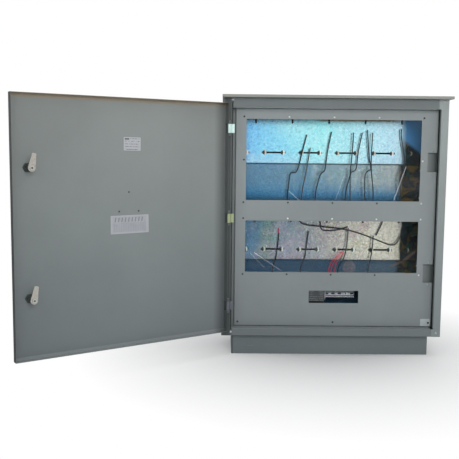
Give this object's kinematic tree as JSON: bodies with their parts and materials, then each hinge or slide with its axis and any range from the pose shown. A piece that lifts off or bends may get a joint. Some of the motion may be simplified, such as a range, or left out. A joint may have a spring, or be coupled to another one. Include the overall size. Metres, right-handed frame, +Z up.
{
  "type": "roadside utility cabinet",
  "caption": "Free-standing folded steel street cabinet on a plinth, with one hinged door, a windowed inner cover, meter plates and a top-hat rail behind clear panes.",
  "frame": {"origin": "centre of the anchor hole pattern, in the plane of the plinth's underside", "axes": "+X to the right seen from the front, +Y to the back, +Z up; the door stands open at value 0"},
  "size_m": [1.5334, 0.7802, 1],
  "materials": {
    "paint": "fine satin",
    "zinc": "blue zinc",
    "fastener": "zinc",
    "hinge_steel": "zinc",
    "lock_metal": "black",
    "clear": "clear",
    "dark_plastic": "matt",
    "grey_plastic": "matt",
    "rubber": "matt",
    "wire": "satin",
    "red_wire": "satin"
  },
  "bodies": {
    "cabinet": {"plinth": "paint", "floor_pan": "paint", "body_wrapper": "paint", "top_pan": "paint", "roof_lid": "paint", "inner_cover": "paint", "latch_pockets": "paint", "cover_rails": "paint", "panel_rails": "paint", "gland_plate": "zinc", "mounting_panel": "zinc", "meter_plate_upper": "zinc", "meter_plate_lower": "zinc", "top_hat_rail": "zinc", "rail_brackets": "zinc", "end_clamp": "grey_plastic", "rail_module": "dark_plastic", "wire_ducts": "grey_plastic", "duct_lids": "grey_plastic", "cable_grommets": "rubber", "window_pane_upper": "clear", "window_pane_lower": "clear", "floor_bolts": "fastener", "roof_bolts": "fastener", "corner_bolts": "fastener", "cover_screws": "fastener", "pane_screws": "fastener", "panel_screws": "fastener", "meter_bolts": "fastener", "meter_nuts": "fastener", "hinge_blocks": "hinge_steel", "hinge_pins": "hinge_steel", "wire_a": "wire", "wire_b": "wire", "wire_c": "wire", "wire_d": "wire", "wire_e": "wire", "wire_f": "wire", "wire_g": "wire", "wire_h": "wire", "wire_i": "wire", "wire_j": "wire", "wire_k": "wire", "wire_l": "wire", "wire_m": "wire", "wire_n": "wire", "wire_o": "wire", "wire_p": "red_wire", "wire_q": "red_wire", "wire_r": "red_wire"},
    "door": {"door_pan": "paint", "door_rivets": "fastener", "hinge_eyes": "hinge_steel", "lock_housings": "lock_metal"},
    "lock_lower": {"lock_plug_lower": "lock_metal", "lock_cam_lower": "zinc", "cam_nut_lower": "fastener"},
    "lock_upper": {"lock_plug_upper": "lock_metal", "lock_cam_upper": "zinc", "cam_nut_upper": "fastener"}
  },
  "joints": [
    {"name": "door_hinge", "type": "hinge", "parent": "cabinet", "child": "door", "pos_m": [-0.401, -0.163, 0.537], "axis": [0, 0, 1], "range_deg": [-18, 147]},
    {"name": "lock_lower_turn", "type": "hinge", "parent": "door", "child": "lock_lower", "pos_m": [-1.02693, -0.60466, 0.305], "axis": [0.5446, -0.8387, 0], "range_deg": [0, 90]},
    {"name": "lock_upper_turn", "type": "hinge", "parent": "door", "child": "lock_upper", "pos_m": [-1.02693, -0.60466, 0.731], "axis": [0.5446, -0.8387, 0], "range_deg": [0, 90]}
  ]
}
